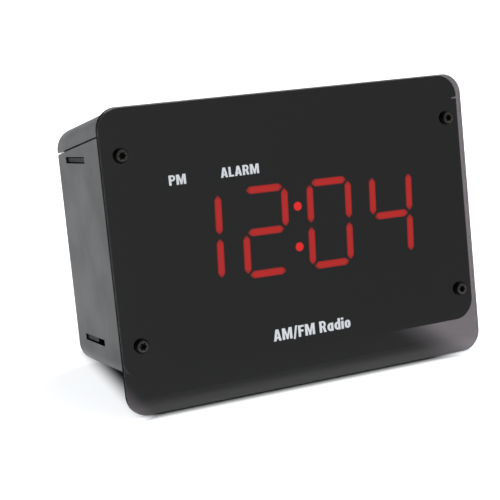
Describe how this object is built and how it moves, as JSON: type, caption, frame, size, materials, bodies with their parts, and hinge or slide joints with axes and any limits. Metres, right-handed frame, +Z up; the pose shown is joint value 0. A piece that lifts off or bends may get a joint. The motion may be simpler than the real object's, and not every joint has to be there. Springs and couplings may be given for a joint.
{
  "type": "clock radio",
  "caption": "Table clock radio: wedge case behind a wide smoked acrylic front with red seven-segment digits; snooze bar, set buttons, thumb wheels and rear speaker.",
  "frame": {"origin": "on the table under the middle of the standing radio's box", "axes": "+X to the right as seen from the front, +Y towards the back, +Z up; the radio leans back 13.3 degrees"},
  "size_m": [0.208, 0.103, 0.1484],
  "materials": {
    "smoked_acrylic": "polished smoked cast acrylic",
    "case_plastic": "satin black moulded ABS",
    "rear_plastic": "fine textured black ABS",
    "chassis_plastic": "moulded black ABS",
    "control_plastic": "moulded black ABS",
    "display_black": "matt black",
    "display_grey": "clear epoxy, unlit",
    "lit_red": "lit red epoxy",
    "dark_red": "unlit red epoxy",
    "black_steel": "black oxide",
    "zinc_steel": "bright zinc plate",
    "bright_can": "tinned steel",
    "brass": "turned",
    "circuit_board": "phenolic paper board",
    "chip_black": "moulded epoxy",
    "capacitor_sleeve": "shrink sleeve",
    "nylon": "natural nylon",
    "ferrite": "sintered ferrite",
    "copper_wire": "enamelled copper",
    "cone_paper": "pressed paper pulp",
    "foam": "foam ring",
    "battery_can": "printed steel can, no lettering",
    "foot_rubber": "soft black rubber"
  },
  "bodies": {
    "case": {"antenna_coil": "copper_wire", "base_shell": "case_plastic", "battery": "battery_can", "battery_box": "chassis_plastic", "battery_snap": "chip_black", "board_capacitors": "capacitor_sleeve", "button_board": "circuit_board", "button_board_screws": "zinc_steel", "clock_chip": "chip_black", "coil_cans": "bright_can", "colon_dots": "lit_red", "dc_jack": "chip_black", "display_board": "circuit_board", "display_housing": "display_black", "display_screws": "zinc_steel", "ferrite_rod": "ferrite", "front_frame": "chassis_plastic", "front_panel": "smoked_acrylic", "indicator_leds": "dark_red", "jack_nut": "zinc_steel", "lit_segments": "lit_red", "main_board": "circuit_board", "main_board_screws": "zinc_steel", "panel_screws": "black_steel", "rear_feet": "foot_rubber", "rear_panel": "rear_plastic", "rear_panel_screws": "black_steel", "rod_holders": "nylon", "slide_switches": "bright_can", "speaker_cone": "cone_paper", "speaker_frame": "zinc_steel", "speaker_gasket": "foam", "speaker_magnet": "ferrite", "speaker_screws": "zinc_steel", "switch_screws": "zinc_steel", "tact_switches": "chip_black", "top_cover": "case_plastic", "tuner_chip": "chip_black", "tuning_capacitor": "nylon", "unlit_segments": "display_grey", "volume_control": "bright_can"},
    "snooze_bar": {"snooze_bar": "control_plastic", "snooze_plungers": "nylon"},
    "volume_dial": {"volume_dial": "control_plastic", "volume_shaft": "brass"},
    "tuning_dial": {"tuning_dial": "control_plastic", "tuning_shaft": "brass"},
    "band_switch_knob": {"band_switch_knob": "control_plastic"},
    "mode_switch_knob": {"mode_switch_knob": "control_plastic"},
    "battery_door": {"battery_door": "rear_plastic"},
    "time_button": {"time_button": "control_plastic", "time_plunger": "nylon"},
    "alarm_button": {"alarm_button": "control_plastic", "alarm_plunger": "nylon"},
    "hour_button": {"hour_button": "control_plastic", "hour_plunger": "nylon"},
    "minute_button": {"minute_button": "control_plastic", "minute_plunger": "nylon"}
  },
  "joints": [
    {"name": "snooze_press", "type": "slide", "parent": "case", "child": "snooze_bar", "axis": [0, -0.3486, -0.9373], "range_m": [0, 0.001], "stiffness_N_per_m": 900, "springref_m": -0.0005},
    {"name": "time_press", "type": "slide", "parent": "case", "child": "time_button", "axis": [0, -0.3486, -0.9373], "range_m": [0, 0.0008], "stiffness_N_per_m": 600, "springref_m": -0.0005},
    {"name": "alarm_press", "type": "slide", "parent": "case", "child": "alarm_button", "axis": [0, -0.3486, -0.9373], "range_m": [0, 0.0008], "stiffness_N_per_m": 600, "springref_m": -0.0005},
    {"name": "hour_press", "type": "slide", "parent": "case", "child": "hour_button", "axis": [0, -0.3486, -0.9373], "range_m": [0, 0.0008], "stiffness_N_per_m": 600, "springref_m": -0.0005},
    {"name": "minute_press", "type": "slide", "parent": "case", "child": "minute_button", "axis": [0, -0.3486, -0.9373], "range_m": [0, 0.0008], "stiffness_N_per_m": 600, "springref_m": -0.0005},
    {"name": "volume_turn", "type": "hinge", "parent": "case", "child": "volume_dial", "pos_m": [0.084, 0.00822, 0.04802], "axis": [0, 0.9732, -0.23], "range_deg": [-135, 135]},
    {"name": "tuning_turn", "type": "hinge", "parent": "case", "child": "tuning_dial", "pos_m": [0.084, 0.01742, 0.08694], "axis": [0, 0.9732, -0.23], "range_deg": [-90, 90]},
    {"name": "band_slide", "type": "slide", "parent": "case", "child": "band_switch_knob", "axis": [1, 0, 0], "range_m": [0, 0.004]},
    {"name": "mode_slide", "type": "slide", "parent": "case", "child": "mode_switch_knob", "axis": [1, 0, 0], "range_m": [-0.003, 0.003]},
    {"name": "battery_door_hinge", "type": "hinge", "parent": "case", "child": "battery_door", "pos_m": [-0.048, 0.0212, 0.00945], "axis": [-1, 0, 0], "range_deg": [0, 90]}
  ]
}
